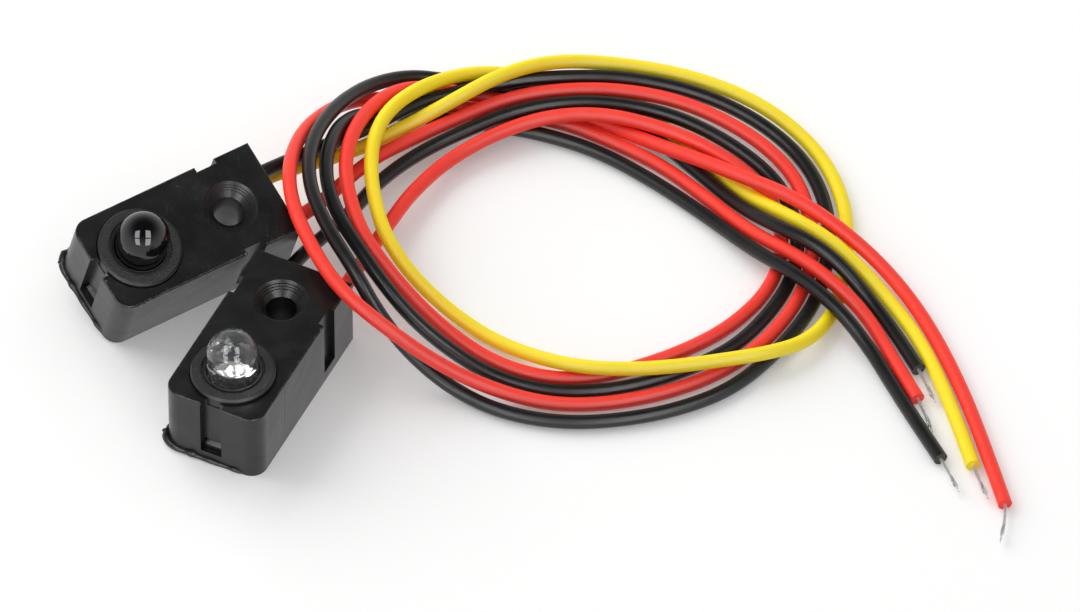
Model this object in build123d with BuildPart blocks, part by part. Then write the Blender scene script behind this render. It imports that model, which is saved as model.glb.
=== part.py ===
# Infrared break beam pair: an emitter and a receiver in equal moulded housings, with their wires.
# Millimetres. The origin is on the axis of the emitter's screw hole, in the plane of its base.
# +Y runs along the emitter's housing towards its wires, and +Z is up.
from build123d import *
from math import radians, sin, tan
import os

os.makedirs("parts", exist_ok=True)

# Housing moulding, the same for both halves
housing_length = 20.0
housing_width = 10.2
housing_height = 8.0
side_wall = 1.0
end_wall = 1.1
top_wall = 1.2
front_corner_radius = 1.6
hole_to_rear = 4.95
led_to_front = 4.85
rim_break = 0.15

# Screw hole through the boss
screw_bore_radius = 1.5
countersink_radius = 2.68
countersink_angle = 90
boss_radius = 2.1

# Notches in both sides, level with the screw hole
notch_width = 2.2
notch_depth = 0.57
notch_floor = 1.2

# Channel and snap window in the front face
channel_width = 2.2
channel_depth = 0.7
window_bottom = 1.3
window_height = 1.2

# Base cover
cover_thickness = 1.0
cover_step = 0.3
hook_width = 1.8
hook_thickness = 0.6
nose_height = 0.8
nose_reach = 0.15
tongue_width = 1.2
rib_width = 3.0
rib_thickness = 0.8

# Round collar that holds the LED
collar_radius = 4.1
collar_rise = 0.5
collar_flange = 1.2
spigot_radius = 3.1
spigot_drop = 1.2
collar_chamfer = 0.2
groove_radius = 3.1
groove_width = 0.3
groove_depth = 0.2

# LED package
led_radius = 2.5
led_flange_radius = 2.95
led_flange_height = 1.0
led_flat = 2.6
led_body_height = 6.1
lead_size = 0.5
lead_pitch = 2.54
cup_radius = 0.95
cup_height = 1.2
cup_mouth = 0.7
cup_floor = 0.35
cup_depth = 0.6
cup_top_over_flange = 3.6
post_width = 0.9
emitter_chip = 0.3
chip_height = 0.2
platform_size = 1.8
platform_thickness = 0.5
detector_chip = 1.3

# Circuit board and the piece on it
board_thickness = 0.8
led_standoff = 0.85
board_side_gap = 0.2
board_front_gap = 0.9
board_boss_gap = 0.35
lead_end_gap = 1.2
lead_solder_radius = 0.7
lead_solder_height = 0.5
chip_part_length = 2.0
chip_part_width = 1.25
chip_part_height = 0.55
chip_end = 0.35
chip_part_behind_led = 3.9

# Wires and their stripped, tinned ends
wire_diameter = 1.4
wire_edge = 1.0
wire_over_board = 0.5
wire_stack_pitch = 1.6
wire_stop = 1.0
emitter_lead_out = 1.6
receiver_lead_out = 2.0
strand_radius = 0.22
tip_length = 4.5
inner_end_length = 2.4
wire_solder_length = 1.3
wire_solder_radius = 0.45
arc_share = 0.45

# Clearances
slip = 0.1
wire_slip = 0.15
seat = 0.05

# Places worked out from the sizes above
front_y = hole_to_rear - housing_length
led_y = front_y + led_to_front
middle_y = front_y + housing_length / 2
ceiling = housing_height - top_wall
flange_bottom = ceiling - spigot_drop - seat - led_flange_height
flange_top = flange_bottom + led_flange_height
collar_seat = housing_height + collar_rise - collar_flange
led_dome_centre = flange_bottom + led_body_height
cup_top = flange_top + cup_top_over_flange
board_top = flange_bottom - led_standoff
board_underside = board_top - board_thickness
lead_below_board = board_underside - cover_thickness - lead_end_gap
board_width = housing_width - 2 * (side_wall + board_side_gap)
board_front = front_y + end_wall + board_front_gap
board_rear = -boss_radius - board_boss_gap
board_length = board_rear - board_front
board_middle_y = (board_front + board_rear) / 2
wire_side_offset = housing_width / 2 - side_wall - wire_edge
wire_height = board_top + wire_over_board
lower_wire_height = wire_height - wire_stack_pitch
wire_start_y = board_rear + wire_stop

# Where each half stands. The receiver lies turned, rolled onto its lower right edge,
# and leans on the emitter's rear corner.
receiver_turn = -31.5
receiver_roll = 19.2
receiver_x = -11.5
receiver_y = 9.05
emitter_place = Location((0, 0, 0))
receiver_place = (
    Location((receiver_x, receiver_y, housing_width / 2 * sin(radians(receiver_roll))))
    * Location((0, 0, 0), (0, 0, receiver_turn))
    * Location((0, 0, 0), (0, receiver_roll, 0))
)


def save(piece, name):
    """Names a finished piece and writes it."""
    piece.label = name
    export_step(piece, f"parts/{name}.step")


def outline(inset, corner_radius):
    """The housing's plan, drawn in by an inset, with rounded front corners."""
    with BuildSketch() as plan:
        with Locations((0, middle_y)):
            Rectangle(housing_width - 2 * inset[0], housing_length - 2 * inset[1])
        fillet(plan.vertices().group_by(Axis.Y)[0], corner_radius)
    return plan.sketch


def housing():
    """The moulded shell, open below."""
    slot = wire_diameter + 2 * wire_slip
    with BuildPart() as shell:
        add(outline((0, 0), front_corner_radius))
        extrude(amount=housing_height)
        fillet(shell.faces().sort_by(Axis.Z)[-1].edges(), rim_break)
        # Hollow, and the wider step below that takes the cover
        add(outline((side_wall, end_wall), front_corner_radius - side_wall))
        extrude(amount=ceiling, mode=Mode.SUBTRACT)
        step = (side_wall - cover_step, end_wall - cover_step)
        add(outline(step, front_corner_radius - side_wall + cover_step))
        extrude(amount=cover_thickness + slip, mode=Mode.SUBTRACT)
        # Boss with its countersunk hole
        with BuildSketch():
            Circle(boss_radius)
        extrude(amount=ceiling)
        with Locations((0, 0, housing_height)):
            CounterSinkHole(
                screw_bore_radius, countersink_radius, housing_height, countersink_angle
            )
        # Round pocket for the collar, and the hole for its spigot
        with BuildSketch(Plane.XY.offset(collar_seat)):
            with Locations((0, led_y)):
                Circle(collar_radius + slip)
        extrude(amount=top_wall, mode=Mode.SUBTRACT)
        with BuildSketch(Plane.XY.offset(ceiling)):
            with Locations((0, led_y)):
                Circle(spigot_radius + slip)
        extrude(amount=top_wall, mode=Mode.SUBTRACT)
        # Side notches
        with BuildSketch(Plane.XY.offset(notch_floor)):
            with Locations((-housing_width / 2, 0), (housing_width / 2, 0)):
                Rectangle(2 * notch_depth, notch_width)
        extrude(amount=housing_height, mode=Mode.SUBTRACT)
        # Channel down the front face, and the snap window at its foot
        with BuildSketch(Plane.XY.offset(window_bottom)):
            with Locations((0, front_y)):
                Rectangle(channel_width, 2 * channel_depth)
        extrude(amount=housing_height, mode=Mode.SUBTRACT)
        with BuildSketch(Plane.XY.offset(window_bottom)):
            with Locations((0, front_y)):
                Rectangle(hook_width + 2 * slip, 2 * (end_wall + slip))
        extrude(amount=window_height, mode=Mode.SUBTRACT)
        # Wire slots through the rear wall, round above and open below
        with BuildSketch(Plane.XZ.offset(-hole_to_rear - slip)):
            with Locations((-wire_side_offset, wire_height), (wire_side_offset, wire_height)):
                Circle(slot / 2)
            with Locations((-wire_side_offset, wire_height / 2), (wire_side_offset, wire_height / 2)):
                Rectangle(slot, wire_height)
        extrude(amount=end_wall + 2 * slip, mode=Mode.SUBTRACT)
    return shell.part


def base_cover(left_wire_height):
    """The plate that closes the shell, with its snap hook, board ribs and wire tongues."""
    inset = (side_wall - cover_step + slip, end_wall - cover_step + slip)
    hook_front = front_y + end_wall + slip
    nose_front = front_y + channel_depth - nose_reach
    tongue_front = hole_to_rear - end_wall - slip
    tongue_rear = hole_to_rear - slip
    heights = {-1: left_wire_height, 1: wire_height}
    with BuildPart() as cover:
        add(outline(inset, front_corner_radius - side_wall + cover_step - slip))
        extrude(amount=cover_thickness)
        with BuildSketch():
            Circle(boss_radius + slip)
        extrude(amount=cover_thickness, mode=Mode.SUBTRACT)
        # Snap hook, whose nose shows in the front window
        with BuildSketch(Plane.YZ.offset(-hook_width / 2)):
            nose_bottom = window_bottom + slip
            with BuildLine():
                Polyline(
                    (hook_front, 0),
                    (hook_front, nose_bottom),
                    (nose_front, nose_bottom),
                    (nose_front, nose_bottom + nose_height / 2),
                    (hook_front, nose_bottom + nose_height),
                    (hook_front + hook_thickness, nose_bottom + nose_height),
                    (hook_front + hook_thickness, 0),
                    close=True,
                )
            make_face()
        extrude(amount=hook_width)
        # Ribs under the circuit board
        rib_height = board_underside - seat - cover_thickness
        rib_places = (
            hook_front + hook_thickness + rib_thickness,
            board_rear - lead_pitch,
        )
        with BuildSketch(Plane.XY.offset(cover_thickness)):
            with Locations(*[(0, y) for y in rib_places]):
                Rectangle(rib_width, rib_thickness)
        extrude(amount=rib_height)
        # A tongue in each wire slot, up to the lowest wire there
        for side, height in heights.items():
            tongue_height = height - wire_diameter / 2 - slip
            with BuildSketch():
                with Locations((side * wire_side_offset, (tongue_front + tongue_rear) / 2)):
                    Rectangle(tongue_width, tongue_rear - tongue_front)
            extrude(amount=tongue_height)
    return cover.part


def led_collar():
    """The raised ring round the LED, with a spigot down to the LED's flange."""
    with BuildPart() as collar:
        with BuildSketch(Plane.XY.offset(collar_seat + seat)):
            with Locations((0, led_y)):
                Circle(collar_radius)
        extrude(amount=collar_flange - seat)
        chamfer(collar.edges().group_by(Axis.Z)[-1], collar_chamfer)
        with BuildSketch(Plane.XY.offset(flange_top + seat)):
            with Locations((0, led_y)):
                Circle(spigot_radius)
        extrude(amount=collar_seat - flange_top)
        with BuildSketch(Plane.XY.offset(housing_height + collar_rise - groove_depth)):
            with Locations((0, led_y)):
                Circle(groove_radius)
                Circle(groove_radius - groove_width, mode=Mode.SUBTRACT)
        extrude(amount=groove_depth, mode=Mode.SUBTRACT)
        with BuildSketch(Plane.XY.offset(flange_bottom)):
            with Locations((0, led_y)):
                Circle(led_radius + slip)
        extrude(amount=housing_height, mode=Mode.SUBTRACT)
    return collar.part


def pin(x, top):
    """A square lead from below the board up to a height in the LED."""
    with BuildPart() as lead:
        with BuildSketch(Plane.XY.offset(board_underside - lead_below_board)):
            with Locations((x, led_y)):
                Rectangle(lead_size, lead_size)
        extrude(amount=top - board_underside + lead_below_board)
    return lead.part


def cup_lead(x):
    """The lead that carries the reflector cup, open above."""
    with BuildPart() as lead:
        add(pin(x, cup_top - cup_height / 2))
        with BuildSketch(Plane.XY.offset(cup_top - cup_height)):
            with Locations((0, led_y)):
                Circle(cup_radius)
        extrude(amount=cup_height)
        with BuildSketch(Plane.XY.offset(cup_top - cup_height - lead_size)):
            with Locations((x / 2, led_y)):
                Rectangle(abs(x) + lead_size, lead_size)
        extrude(amount=2 * lead_size)
        with BuildSketch(Plane.XY.offset(cup_top - cup_depth)):
            with Locations((0, led_y)):
                Circle(cup_floor)
        with BuildSketch(Plane.XY.offset(cup_top)):
            with Locations((0, led_y)):
                Circle(cup_mouth)
        loft(mode=Mode.SUBTRACT)
    return lead.part


def post_lead(x):
    """The lead that ends in a small upright post beside the cup."""
    with BuildPart() as lead:
        add(pin(x, cup_top))
        with BuildSketch(Plane.XY.offset(cup_top - cup_height)):
            with Locations((x + lead_size / 4, led_y)):
                Rectangle(lead_size, post_width)
        extrude(amount=cup_height)
    return lead.part


def platform_lead():
    """The middle lead, which carries the detector chip on a flat platform."""
    with BuildPart() as lead:
        add(pin(0, cup_top - platform_thickness))
        with BuildSketch(Plane.XY.offset(cup_top - platform_thickness)):
            with Locations((0, led_y)):
                Rectangle(platform_size, platform_size)
        extrude(amount=platform_thickness)
    return lead.part


def chip(size, bottom):
    """A square chip on the LED's axis."""
    with BuildPart() as die:
        with BuildSketch(Plane.XY.offset(bottom)):
            with Locations((0, led_y)):
                Rectangle(size, size)
        extrude(amount=chip_height)
    return die.part


def led_lens(inside):
    """The moulded LED body: flange with its flat, cylinder and dome, closed round what it holds."""
    with BuildPart() as lens:
        with BuildSketch(Plane.XY.offset(flange_bottom)):
            with Locations((0, led_y)):
                Circle(led_flange_radius)
            with Locations((-led_flat, led_y)):
                Rectangle(
                    led_flange_radius,
                    3 * led_flange_radius,
                    align=(Align.MAX, Align.CENTER),
                    mode=Mode.SUBTRACT,
                )
        extrude(amount=led_flange_height)
        with BuildSketch(Plane.XY.offset(flange_bottom)):
            with Locations((0, led_y)):
                Circle(led_radius)
        extrude(amount=led_body_height)
        with Locations((0, led_y, led_dome_centre)):
            Sphere(led_radius, arc_size1=0, align=(Align.CENTER, Align.CENTER, Align.MIN))
        for piece in inside:
            add(piece, mode=Mode.SUBTRACT)
    return lens.part


def circuit_board(lead_places):
    """The board, with a hole for each LED lead."""
    with BuildPart() as board:
        with BuildSketch(Plane.XY.offset(board_underside)):
            with Locations((0, board_middle_y)):
                Rectangle(board_width, board_length)
            with Locations(*[(x, led_y) for x in lead_places]):
                Rectangle(lead_size + seat, lead_size + seat, mode=Mode.SUBTRACT)
        extrude(amount=board_thickness)
    return board.part


def chip_part():
    """A surface-mount resistor or capacitor, whose metal ends stand a little proud."""
    y = led_y + chip_part_behind_led
    with BuildPart() as part:
        with BuildSketch(Plane.XY.offset(board_top)):
            with Locations((0, y)):
                Rectangle(chip_part_length, chip_part_width)
        extrude(amount=chip_part_height - seat)
        ends = (chip_part_length - chip_end) / 2
        with BuildSketch(Plane.XY.offset(board_top)):
            with Locations((-ends, y), (ends, y)):
                Rectangle(chip_end, chip_part_width)
        extrude(amount=chip_part_height)
    return part.part


def lead_solder(x):
    """The solder cone under the board round an LED lead."""
    with BuildPart() as joint:
        with Locations((x, led_y, board_underside - lead_solder_height / 2)):
            Cone(lead_size / 2 + slip, lead_solder_radius, lead_solder_height)
        add(pin(x, board_top), mode=Mode.SUBTRACT)
    return joint.part


def inner_end(x, z):
    """The tinned inner end of a wire, straight in from where its insulation stops."""
    with BuildPart() as core:
        with BuildSketch(Plane.XZ.offset(-wire_start_y)):
            with Locations((x, z)):
                Circle(strand_radius)
        extrude(amount=inner_end_length)
    return core.part


def wire_solder(x, z):
    """The solder that joins a wire's inner end to its pad, above or below the board."""
    y = wire_start_y - inner_end_length + wire_solder_length / 2
    pad = board_top if z > board_top else board_underside
    rise = z - pad
    with BuildPart() as joint:
        with BuildSketch(Plane.XY.offset(pad)):
            with Locations((x, y)):
                SlotOverall(wire_solder_length, 2 * wire_solder_radius, rotation=90)
        extrude(amount=rise)
        add(inner_end(x, z), mode=Mode.SUBTRACT)
    return joint.part


def corner_radii(points):
    """The largest tangent arc that each corner of a route leaves room for."""
    radii = []
    for before, at, after in zip(points, points[1:], points[2:]):
        turn = (at - before).get_angle(after - at)
        run = min((at - before).length, (after - at).length)
        radii.append(arc_share * run / tan(radians(turn / 2)))
    return radii


def wire(name, place, x, z, lead_out, points):
    """A wire from inside its housing, straight out of the rear and along its points, and its tip."""
    inside = (place * Location((x, wire_start_y, z))).position
    outside = (place * Location((x, hole_to_rear + lead_out, z))).position
    route = [inside, outside] + [Vector(*point) for point in points]
    radii = corner_radii(route)
    print(name, "radii", [round(radius, 1) for radius in radii])
    with BuildPart() as tube:
        with BuildLine() as path:
            FilletPolyline(*route, radius=radii)
        with BuildSketch(Plane(origin=path.line @ 0, z_dir=path.line % 0)):
            Circle(wire_diameter / 2)
        sweep()
    print(name, "length", round(sum(edge.length for edge in path.edges()), 1))
    save(tube.part, name)
    with BuildPart() as tip:
        with BuildSketch(Plane(origin=path.line @ 1, z_dir=path.line % 1)):
            Circle(strand_radius)
        extrude(amount=tip_length)
    save(tip.part, name + "_tip")


# What each half holds
halves = {
    "emitter": {
        "place": emitter_place,
        "lead_places": (-lead_pitch / 2, lead_pitch / 2),
        "wire_ends": {
            "black": (-wire_side_offset, wire_height),
            "red": (wire_side_offset, wire_height),
        },
        "left_wire_height": wire_height,
        "lead_out": emitter_lead_out,
        "part_on_board": "resistor",
    },
    "receiver": {
        "place": receiver_place,
        "lead_places": (-lead_pitch / 2, 0, lead_pitch / 2),
        "wire_ends": {
            "black": (-wire_side_offset, wire_height),
            "red": (wire_side_offset, wire_height),
            "yellow": (-wire_side_offset, lower_wire_height),
        },
        "left_wire_height": lower_wire_height,
        "lead_out": receiver_lead_out,
        "part_on_board": "capacitor",
    },
}

# The emitter's frame has a cup and a post, the receiver's a platform between two pins
side = lead_pitch / 2
emitter_frame = {
    "cathode": cup_lead(-side),
    "anode": post_lead(side),
    "chip": chip(emitter_chip, cup_top - cup_depth),
}
receiver_frame = {
    "supply_lead": pin(-side, cup_top),
    "ground_lead": platform_lead(),
    "signal_lead": pin(side, cup_top),
    "chip": chip(detector_chip, cup_top),
}
frames = {"emitter": emitter_frame, "receiver": receiver_frame}

for half, content in halves.items():
    place = content["place"]
    pieces = {
        "housing": housing(),
        "base_cover": base_cover(content["left_wire_height"]),
        "led_collar": led_collar(),
        "led_lens": led_lens(frames[half].values()),
        "circuit_board": circuit_board(content["lead_places"]),
        content["part_on_board"]: chip_part(),
    }
    pieces.update(frames[half])
    for number, x in enumerate(content["lead_places"], start=1):
        pieces[f"lead_solder_{number}"] = lead_solder(x)
    for colour, (x, z) in content["wire_ends"].items():
        pieces[f"{colour}_wire_inner_end"] = inner_end(x, z)
        pieces[f"{colour}_wire_solder"] = wire_solder(x, z)
    for name, piece in pieces.items():
        save(place * piece, f"{half}_{name}")

# Points of each wire outside its housing, in the order in which it lies: up and over the top of the
# loop, down its right side, back along the bottom, over the housings' corners and out again
routes = {
    "receiver_red_wire": [
        (-2.6, 23.2, 3.3), (-0.6, 28.1, 2.4), (2.3, 32.8, 2.3), (5.8, 37.7, 2.3),
        (10.1, 41, 2.3), (15.5, 43.5, 2.3), (21.8, 44.6, 2.3), (28.9, 43.7, 2.1),
        (34.1, 41.9, 1.1), (37.7, 38.2, 0.75), (40.5, 33.3, 0.75), (41.7, 27.6, 0.75),
        (41, 20.8, 0.75), (38.6, 15.3, 0.75), (34.9, 10.8, 0.75), (30.3, 7.1, 0.75),
        (25.6, 4.9, 0.8), (20.3, 3.7, 1.6), (15.5, 2.3, 4.2), (10.7, 1.4, 7.6),
        (5, 2.5, 9.4), (0.1, 6.1, 9.7), (-4.3, 10.6, 9.6), (-6.8, 15.2, 9.2),
        (-8.5, 21.4, 6.7), (-8.5, 27.2, 4.1), (-7.1, 31.5, 2.1), (-3.9, 34, 0.9),
        (0.8, 35.4, 0.75), (5.8, 36.9, 0.75), (10.9, 38.3, 0.75), (16.6, 38.1, 0.75),
        (22.3, 37.4, 0.75), (27.9, 35.5, 0.75), (33.9, 32.8, 1.4), (39.6, 31, 2.8),
        (44.5, 29.5, 2.6), (48.6, 28.1, 1.2), (52.8, 24.7, 0.75), (57.2, 21.1, 0.75),
    ],
    "receiver_black_wire": [
        (-4.5, 26.3, 3.75), (-2.3, 31.8, 2.9), (0.8, 35.7, 2.5), (4.9, 39.5, 2.5),
        (9.4, 42.5, 2.3), (14.7, 45, 2.3), (21.5, 46.3, 2.3), (28.4, 45.8, 2.1),
        (34.4, 43.9, 1.1), (38.8, 39.8, 0.75), (41.6, 34.4, 0.75), (43.3, 28.1, 0.75),
        (42.7, 21, 0.75), (40.9, 14.7, 0.75), (37.4, 10, 0.75), (32.9, 6.2, 0.75),
        (27.9, 3.4, 0.75), (22.1, 2.1, 0.75), (16.6, 2.6, 1), (12, 2.9, 3.6),
        (8.3, 3.8, 6.6), (4.9, 5.7, 9.1), (0.4, 9, 9.6), (-3.8, 13.4, 9.3),
        (-6.4, 18.9, 8.3), (-7.4, 25.4, 6.3), (-6.9, 31.6, 3.8), (-4.6, 36.1, 2),
        (-1, 38.2, 1), (3.6, 39.4, 0.75), (8.8, 41.4, 0.75), (14.7, 41.5, 0.75),
        (20.7, 40.2, 0.75), (26.3, 37.9, 0.75), (31.5, 35.5, 1.2), (36.2, 33.4, 3),
        (40.2, 32.5, 3.7), (43.9, 31.7, 3), (47.6, 30.3, 1.2), (51.9, 27.6, 0.75),
        (55.7, 24.5, 0.75),
    ],
    "receiver_yellow_wire": [
        (-4.4, 24.4, 2.7), (-1.6, 29.8, 2.3), (1.5, 33.4, 3.8), (4.4, 38.5, 4.2),
        (7.9, 42.9, 3.5), (13, 46.2, 2.3), (20.2, 47.9, 2.3), (27.7, 47.9, 2.1),
        (34.6, 45.9, 1.1), (39.7, 41.5, 0.75), (42.9, 35.9, 0.75), (44.5, 31, 0.75),
        (45.4, 27.1, 0.8), (45, 22.5, 1.6), (42.6, 18.9, 2.4), (39.4, 16.4, 2.4),
        (35.6, 13.6, 2.4), (31.7, 11.2, 2.4), (27.1, 9.3, 2.4), (22.4, 9.3, 1.5),
        (17.4, 10, 0.75), (12.2, 11.2, 1.2), (7.8, 12.1, 3.2), (4, 14.1, 5),
        (1.2, 17.5, 5.4), (-1.2, 21.4, 5.4), (-2.6, 25.2, 5.5), (-2.9, 29.6, 5),
        (-1.4, 34.8, 3.9), (1.8, 39.4, 2.5), (7.2, 42.6, 0.75), (13.5, 43.4, 0.75),
        (19.7, 42.2, 0.75), (25.4, 40, 0.75), (31.2, 37.2, 1.2), (36.8, 35.2, 2.8),
        (41.5, 34.3, 2.8), (45.7, 32.9, 1.8), (49.6, 31.1, 0.8), (54.3, 27.9, 0.75),
        (60, 22.3, 0.75), (65.5, 15.8, 0.75),
    ],
    "emitter_black_wire": [
        (-1.1, 16.9, 2.9), (-0.9, 22.4, 2.1), (1, 27.7, 2), (4, 32.2, 2.3),
        (7, 36.3, 2.3), (10.8, 39.5, 2.3), (15.7, 41.7, 2.3), (21.7, 42.6, 2.3),
        (28, 41.7, 2.1), (33.1, 40.3, 1.1), (36.6, 37.1, 0.75), (39.2, 32.6, 0.75),
        (40.1, 27.4, 0.75), (39.2, 20.6, 0.75), (36.7, 15.9, 0.75), (33.2, 11.6, 0.75),
        (29.2, 8.4, 0.75), (24.6, 6.3, 0.75), (19.5, 5.8, 0.9), (15.2, 6, 2),
        (11.1, 6.2, 4.2), (7.3, 7.4, 6.2), (3.4, 9.7, 7.4), (-0.7, 12.8, 7.7),
        (-3.8, 16.8, 7.7), (-5.5, 21.6, 6.9), (-6, 25.8, 5.2), (-5.3, 29.5, 2.8),
        (-2.8, 32.1, 1.3), (1, 33.6, 0.75), (5, 34.9, 0.75), (10.3, 36.1, 0.75),
        (16.1, 36.4, 0.75), (22.6, 35.2, 0.75), (28.9, 33.4, 0.75), (35.2, 30.7, 1.6),
        (40.8, 28.8, 2.8), (46, 26.8, 2.6), (50.2, 24.8, 1.2), (54.2, 21.7, 0.75),
        (58.4, 18.3, 0.75), (62.4, 15.2, 0.75),
    ],
    "emitter_red_wire": [
        (2.7, 17.2, 2.7), (2.6, 22.8, 2), (3.8, 28.6, 1.6), (6.8, 33.5, 2.1),
        (10.5, 37.4, 2.3), (15.4, 39.4, 2.9), (21.2, 40.3, 2.7), (26.7, 40.1, 2.3),
        (31.7, 39.3, 1.1), (35.4, 36.3, 0.75), (37.8, 31.8, 0.75), (38.5, 26.9, 0.75),
        (37.2, 21.5, 0.75), (34.7, 17, 0.75), (31.4, 12.9, 0.75), (28, 9.7, 0.75),
        (23.9, 7.8, 0.75), (19, 7.5, 0.75), (14.4, 8.2, 1.4), (10.1, 9, 3.2),
        (6.2, 10.2, 5.2), (2.7, 11.9, 6.8), (-0.6, 15.6, 7), (-3.1, 19.7, 6.8),
        (-4.5, 24.8, 6.1), (-4.7, 30.8, 4.1), (-3.2, 34.8, 2.4), (0, 36.9, 1.2),
        (4.3, 38.1, 0.75), (9, 39.6, 0.75), (14.6, 39.9, 0.75), (20.6, 38.7, 1.9),
        (26, 38.1, 2.7), (31.2, 37.6, 3.1), (36.4, 37.2, 3.3), (41.7, 36, 2.9),
        (47.4, 34.4, 1.4), (53.4, 30.7, 0.8), (60.1, 24.5, 0.75), (66.2, 17.6, 0.75),
        (70.3, 12.7, 0.75),
    ],
}
for half, content in halves.items():
    for colour, (x, z) in content["wire_ends"].items():
        name = f"{half}_{colour}_wire"
        wire(name, content["place"], x, z, content["lead_out"], routes[name])
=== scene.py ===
from math import cos, pi, radians, sin

import bmesh
import bpy
from mathutils import Euler, Matrix, Vector, noise


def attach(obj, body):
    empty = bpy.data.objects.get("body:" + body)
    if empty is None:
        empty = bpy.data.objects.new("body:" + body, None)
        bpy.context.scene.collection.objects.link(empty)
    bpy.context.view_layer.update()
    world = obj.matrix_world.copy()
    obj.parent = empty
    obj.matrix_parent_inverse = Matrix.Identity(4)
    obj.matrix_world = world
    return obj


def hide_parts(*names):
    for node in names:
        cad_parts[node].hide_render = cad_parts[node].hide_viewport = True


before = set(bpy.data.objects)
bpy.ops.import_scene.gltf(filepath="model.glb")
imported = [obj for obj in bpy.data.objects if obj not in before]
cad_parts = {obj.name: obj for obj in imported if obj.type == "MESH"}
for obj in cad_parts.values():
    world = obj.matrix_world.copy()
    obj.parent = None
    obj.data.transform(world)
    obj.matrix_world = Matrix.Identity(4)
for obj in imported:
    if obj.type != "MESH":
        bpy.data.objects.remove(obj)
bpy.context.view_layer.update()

MM = 0.001
IN_MM = (1000, 1000, 1000)

# Housing
housing_width = 10.2
housing_length = 20.0
housing_height = 8.0
hole_to_rear = 4.95
front_y = hole_to_rear - housing_length
led_y = front_y + 4.85
countersink_radius = 2.68
parting_line_y = -9.65

# Ribs in the countersink: gap to its edge, spacing, and section as steps outward and upward
rib_count = 3
rib_edge_gap = 0.08
rib_spacing = 0.19
rib_section = ((-0.04, -0.08), (-0.025, 0.025), (0.08, 0.04))

# Torn burrs: how fine their unevenness is, its share of their size, and the seed that
# gives it the same shape in every run
burr_fineness = 9
burr_unevenness = 0.6
burr_seed = 3

# LED body
led_radius = 2.5
flange_radius = 2.95
flange_flat = 2.6
flange_bottom = 4.55
flange_top = 5.55
dome_centre = 10.65
flange_foot_chamfer = 0.08
flange_top_chamfer = 0.1
barrel_chamfer = 0.12
dome_steps = 32

# Wires
wire_diameter = 1.4
wire_side = 3.1
wire_start_y = -1.45
strand_radius = 0.06
strand_count = 7
strand_steps = 8
strand_twist = 5.0
strand_root = 0.3
bundle_radius = 0.13
tip_length = 4.5

# Finish: scratches on each half's top, and the angle past which an edge stays crisp
scratch_amount = {"emitter": 0.25, "receiver": 0.62}
crisp_angle = radians(35)
# The smallest distance at which two points of a spun shape stay apart
merge_distance = 0.001

# Places of the two halves
receiver_turn = radians(-31.5)
receiver_roll = radians(19.2)
receiver_at = (-11.5, 9.05, housing_width / 2 * sin(receiver_roll))
places = {
    "emitter": Matrix.Identity(4),
    "receiver": Matrix.Translation(receiver_at)
    @ Euler((0, receiver_roll, receiver_turn)).to_matrix().to_4x4(),
}


def at(place, x, y, z):
    """A point of a half, in metres in the row frame."""
    return place @ Vector((x, y, z)) * MM


# Shader helpers

def put(tree, socket, value):
    """Sets a socket to a value, or joins it to another socket."""
    if isinstance(value, bpy.types.NodeSocket):
        tree.links.new(value, socket)
    else:
        socket.default_value = value


def node(tree, kind, inputs=None, **settings):
    """A shader node, with its settings and inputs given as values or sockets."""
    made = tree.nodes.new(kind)
    for key, value in settings.items():
        setattr(made, key, value)
    for key, value in (inputs or {}).items():
        put(tree, made.inputs[key], value)
    return made


def calc(tree, operation, *values):
    """The result of a math node."""
    return node(tree, "ShaderNodeMath", dict(enumerate(values)), operation=operation).outputs[0]


def scaled(tree, vector, factors):
    """A vector multiplied by another, part by part."""
    inputs = {0: vector, 1: factors}
    return node(tree, "ShaderNodeVectorMath", inputs, operation="MULTIPLY").outputs[0]


def fade(tree, value, low, high):
    """0 below low, 1 above high, smooth between."""
    inputs = {"Value": value, "From Min": low, "From Max": high}
    made = node(tree, "ShaderNodeMapRange", inputs, interpolation_type="SMOOTHSTEP")
    return made.outputs["Result"]


def blend(tree, factor, first, second):
    """Two colours mixed."""
    made = node(tree, "ShaderNodeMix", {0: factor, 6: first, 7: second}, data_type="RGBA")
    return made.outputs[2]


def noise_at(tree, vector, scale, detail=3.0, roughness=0.5):
    """Noise of a scale in periods per unit."""
    inputs = {"Vector": vector, "Scale": scale, "Detail": detail, "Roughness": roughness}
    return node(tree, "ShaderNodeTexNoise", inputs).outputs["Fac"]


def length_of(tree, first, second):
    """The length of a flat vector's two parts."""
    squares = [calc(tree, "MULTIPLY", part, part) for part in (first, second)]
    return calc(tree, "SQRT", calc(tree, "ADD", *squares))


def parts_of(tree, vector):
    return node(tree, "ShaderNodeSeparateXYZ", {"Vector": vector}).outputs


def new_group(name, inputs, outputs):
    """A node group with named sockets, and its input and output nodes."""
    tree = bpy.data.node_groups.new(name, "ShaderNodeTree")
    for label, kind, value in inputs:
        socket = tree.interface.new_socket(label, in_out="INPUT", socket_type="NodeSocket" + kind)
        if value is not None:
            socket.default_value = value
    for label, kind in outputs:
        tree.interface.new_socket(label, in_out="OUTPUT", socket_type="NodeSocket" + kind)
    return tree, tree.nodes.new("NodeGroupInput").outputs, tree.nodes.new("NodeGroupOutput").inputs


def grouped(tree, group, **inputs):
    """The outputs of a node group, its inputs named with underscores for spaces."""
    made = node(tree, "ShaderNodeGroup", node_tree=group)
    for key, value in inputs.items():
        put(tree, made.inputs[key.replace("_", " ")], value)
    return made.outputs


def grey(value):
    return (value, value, value, 1)


# Effects that several materials share

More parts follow.
